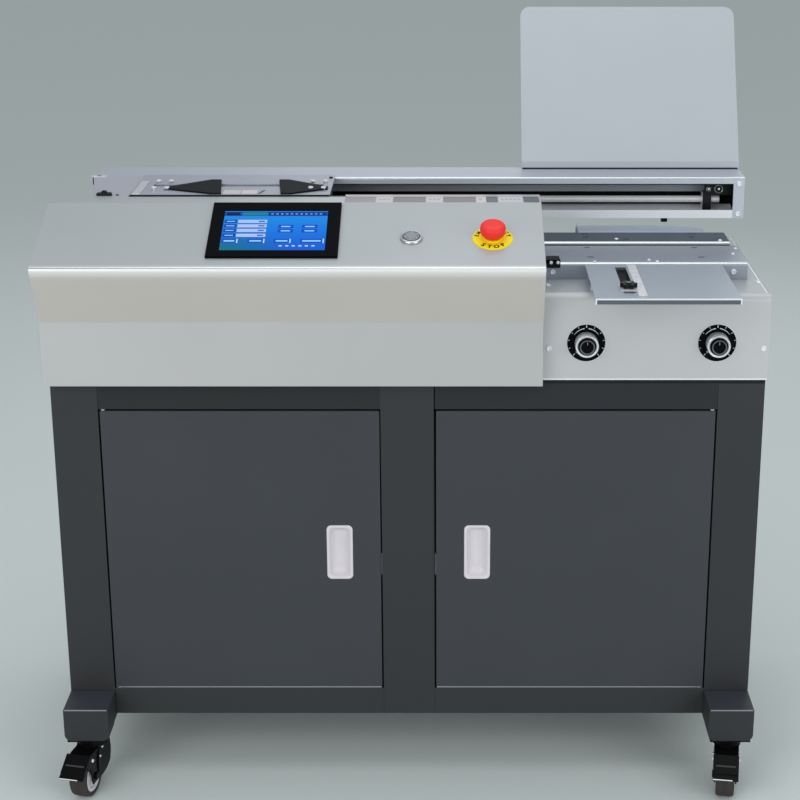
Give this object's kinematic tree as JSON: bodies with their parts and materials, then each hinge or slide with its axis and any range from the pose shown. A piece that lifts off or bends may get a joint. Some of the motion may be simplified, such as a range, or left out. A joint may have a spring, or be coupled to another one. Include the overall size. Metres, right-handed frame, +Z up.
{
  "type": "perfect binding machine",
  "caption": "Floor-standing perfect binding machine on casters: travelling book clamp, cutter, glue rollers, nipping station, touch panel, cover table and tray over a two-door cabinet.",
  "frame": {"origin": "centre of the bounding box's footprint, on the floor under the wheels", "axes": "+X to the operator's right, +Y from the operator to the rear, +Z up"},
  "size_m": [1.208, 0.7015, 1.2981],
  "materials": {
    "charcoal_paint": "fine texture powder coat",
    "door_paint": "satin powder coat",
    "silver_paint": "satin, fine linear grain",
    "brushed_sheet": "brushed",
    "milled_steel": "fine milled",
    "dark_sheet": "satin",
    "galvanised_sheet": "matt galvanised",
    "tank_alloy": "cast",
    "roller_steel": "polished",
    "tool_steel": "ground",
    "belt_rubber": "matt",
    "motor_black": "gloss enamel",
    "arm_black": "satin black",
    "caster_steel": "zinc, dark",
    "tread_rubber": "matt",
    "pedal_black": "satin black",
    "white_plastic": "gloss",
    "fitting_steel": "zinc",
    "screen_frame": "fine texture",
    "screen_face": "gloss",
    "button_chrome": "polished",
    "estop_yellow": "gloss",
    "estop_stem": "matt",
    "estop_red": "gloss",
    "dial_print": "satin",
    "knob_black": "gloss",
    "switch_plastic": "matt",
    "stop_steel": "satin",
    "screw_steel": "bright zinc"
  },
  "bodies": {
    "root": {"cabinet_frame": "charcoal_paint", "cabinet_sheets": "charcoal_paint", "back_panel": "charcoal_paint", "door_fittings": "fitting_steel", "caster_mounts": "caster_steel", "control_housing": "silver_paint", "screen_case": "screen_frame", "screen_glass": "screen_face", "start_bezel": "button_chrome", "estop_base": "estop_yellow", "nip_body": "silver_paint", "dial_discs": "dial_print", "nip_jaw_front": "dark_sheet", "nip_fittings": "milled_steel", "switch_blocks": "switch_plastic", "cover_table": "brushed_sheet", "beam": "brushed_sheet", "beam_guide": "milled_steel", "drive_belt": "belt_rubber", "motors": "motor_black", "chip_duct": "galvanised_sheet", "scrap_bin": "galvanised_sheet", "glue_tank": "tank_alloy", "process_stands": "milled_steel", "machine_covers": "silver_paint", "cover_tray": "brushed_sheet", "control_box": "silver_paint", "machine_screws": "screw_steel"},
    "left_door": {"door_left": "door_paint", "door_pull_left": "white_plastic"},
    "right_door": {"door_right": "door_paint", "door_pull_right": "white_plastic"},
    "front_left_fork": {"caster_fork_front_left": "caster_steel"},
    "front_right_fork": {"caster_fork_front_right": "caster_steel"},
    "front_left_wheel": {"caster_wheel_front_left": "tread_rubber"},
    "front_right_wheel": {"caster_wheel_front_right": "tread_rubber"},
    "rear_left_wheel": {"caster_wheel_rear_left": "tread_rubber"},
    "rear_right_wheel": {"caster_wheel_rear_right": "tread_rubber"},
    "left_pedal": {"brake_pedal_front_left": "pedal_black"},
    "right_pedal": {"brake_pedal_front_right": "pedal_black"},
    "start_cap": {"start_button": "button_chrome"},
    "stop_plunger": {"estop_plunger": "estop_stem"},
    "stop_head": {"estop_head": "estop_red"},
    "left_dial": {"dial_knob_left": "knob_black"},
    "right_dial": {"dial_knob_right": "knob_black"},
    "rear_jaw": {"nip_jaw_rear": "dark_sheet", "rear_cover_plate": "brushed_sheet"},
    "lift_table": {"nip_table": "milled_steel"},
    "sliding_stop": {"cover_stop": "stop_steel"},
    "thumb_knob": {"stop_knob": "knob_black"},
    "carriage": {"carriage_plate": "milled_steel", "carriage_frame": "milled_steel", "carriage_bearings": "milled_steel", "clamp_arms": "arm_black"},
    "moving_jaw": {"clamp_jaw": "milled_steel"},
    "cutter": {"cutter_disc": "tool_steel"},
    "first_roller": {"glue_roller_one": "roller_steel"},
    "second_roller": {"glue_roller_two": "roller_steel"},
    "driven_pulley": {"drive_pulley": "tool_steel"},
    "idling_pulley": {"idler_pulley": "tool_steel"}
  },
  "joints": [
    {"name": "left_door_hinge", "type": "hinge", "parent": "root", "child": "left_door", "pos_m": [-0.514, -0.21062, 0.43], "axis": [0, 0, 1], "range_deg": [-110, 0]},
    {"name": "right_door_hinge", "type": "hinge", "parent": "root", "child": "right_door", "pos_m": [0.514, -0.21062, 0.43], "axis": [0, 0, 1], "range_deg": [0, 110]},
    {"name": "front_left_swivel", "type": "hinge", "parent": "root", "child": "front_left_fork", "pos_m": [-0.561, -0.25362, 0.085], "axis": [0, 0, 1], "continuous": true},
    {"name": "front_left_wheel_spin", "type": "hinge", "parent": "front_left_fork", "child": "front_left_wheel", "pos_m": [-0.56842, -0.28577, 0.0375], "axis": [0.9744, -0.225, 0], "continuous": true},
    {"name": "left_pedal_press", "type": "hinge", "parent": "front_left_fork", "child": "left_pedal", "pos_m": [-0.57225, -0.30234, 0.076], "axis": [0.9744, -0.225, 0], "range_deg": [0, 12]},
    {"name": "front_right_swivel", "type": "hinge", "parent": "root", "child": "front_right_fork", "pos_m": [0.561, -0.25362, 0.085], "axis": [0, 0, 1], "continuous": true},
    {"name": "front_right_wheel_spin", "type": "hinge", "parent": "front_right_fork", "child": "front_right_wheel", "pos_m": [0.55584, -0.28621, 0.0375], "axis": [0.9877, -0.1564, 0], "continuous": true},
    {"name": "right_pedal_press", "type": "hinge", "parent": "front_right_fork", "child": "right_pedal", "pos_m": [0.55318, -0.303, 0.076], "axis": [0.9877, -0.1564, 0], "range_deg": [0, 12]},
    {"name": "rear_left_wheel_spin", "type": "hinge", "parent": "root", "child": "rear_left_wheel", "pos_m": [-0.561, 0.21938, 0.0375], "axis": [1, 0, 0], "continuous": true},
    {"name": "rear_right_wheel_spin", "type": "hinge", "parent": "root", "child": "rear_right_wheel", "pos_m": [0.561, 0.21938, 0.0375], "axis": [1, 0, 0], "continuous": true},
    {"name": "start_press", "type": "slide", "parent": "root", "child": "start_cap", "axis": [0, 0.3535, -0.9354], "range_m": [0, 0.0025], "stiffness_N_per_m": 900},
    {"name": "emergency_press", "type": "slide", "parent": "root", "child": "stop_plunger", "axis": [0, 0.3535, -0.9354], "range_m": [0, 0.004]},
    {"name": "emergency_twist", "type": "hinge", "parent": "stop_plunger", "child": "stop_head", "pos_m": [0.141, -0.21883, 0.99346], "axis": [0, -0.3535, 0.9354], "range_deg": [-45, 0], "stiffness_Nm_per_rad": 0.06},
    {"name": "left_dial_turn", "type": "hinge", "parent": "root", "child": "left_dial", "pos_m": [0.298, -0.22562, 0.807], "axis": [0, -1, 0], "range_deg": [-150, 150]},
    {"name": "right_dial_turn", "type": "hinge", "parent": "root", "child": "right_dial", "pos_m": [0.516, -0.22562, 0.807], "axis": [0, -1, 0], "range_deg": [-150, 150]},
    {"name": "rear_jaw_slide", "type": "slide", "parent": "root", "child": "rear_jaw", "axis": [0, 1, 0], "range_m": [0, 0.045]},
    {"name": "lift_table_rise", "type": "slide", "parent": "root", "child": "lift_table", "axis": [0, 0, 1], "range_m": [0, 0.0055]},
    {"name": "stop_slide", "type": "slide", "parent": "root", "child": "sliding_stop", "axis": [0, 1, 0], "range_m": [0, 0.14]},
    {"name": "thumb_knob_turn", "type": "hinge", "parent": "sliding_stop", "child": "thumb_knob", "pos_m": [0.358, -0.28962, 0.926], "axis": [0, 0, 1], "range_deg": [-180, 180]},
    {"name": "carriage_travel", "type": "slide", "parent": "root", "child": "carriage", "axis": [1, 0, 0], "range_m": [0, 0.69]},
    {"name": "clamp_close", "type": "slide", "parent": "carriage", "child": "moving_jaw", "axis": [0, 1, 0], "range_m": [0, 0.046]},
    {"name": "cutter_spin", "type": "hinge", "parent": "root", "child": "cutter", "pos_m": [-0.06, 0.00638, 0.902], "axis": [0, 0, 1], "continuous": true},
    {"name": "first_roller_spin", "type": "hinge", "parent": "root", "child": "first_roller", "pos_m": [0.07, 0.00638, 0.921], "axis": [0, 1, 0], "continuous": true},
    {"name": "second_roller_spin", "type": "hinge", "parent": "root", "child": "second_roller", "pos_m": [0.15, 0.00638, 0.921], "axis": [0, 1, 0], "continuous": true},
    {"name": "driven_pulley_spin", "type": "hinge", "parent": "root", "child": "driven_pulley", "pos_m": [-0.527, 0.19138, 0.982], "axis": [0, 0, 1], "range_deg": [-10, 2430]},
    {"name": "idling_pulley_spin", "type": "hinge", "parent": "root", "child": "idling_pulley", "pos_m": [0.561, 0.19138, 0.982], "axis": [0, 0, 1], "range_deg": [-10, 2430]}
  ],
  "couplings": [
    {"joint": "driven_pulley_spin", "follows": "carriage_travel", "rad_per_m": 61.35},
    {"joint": "idling_pulley_spin", "follows": "carriage_travel", "rad_per_m": 61.35},
    {"joint": "second_roller_spin", "follows": "first_roller_spin", "ratio": 1}
  ]
}
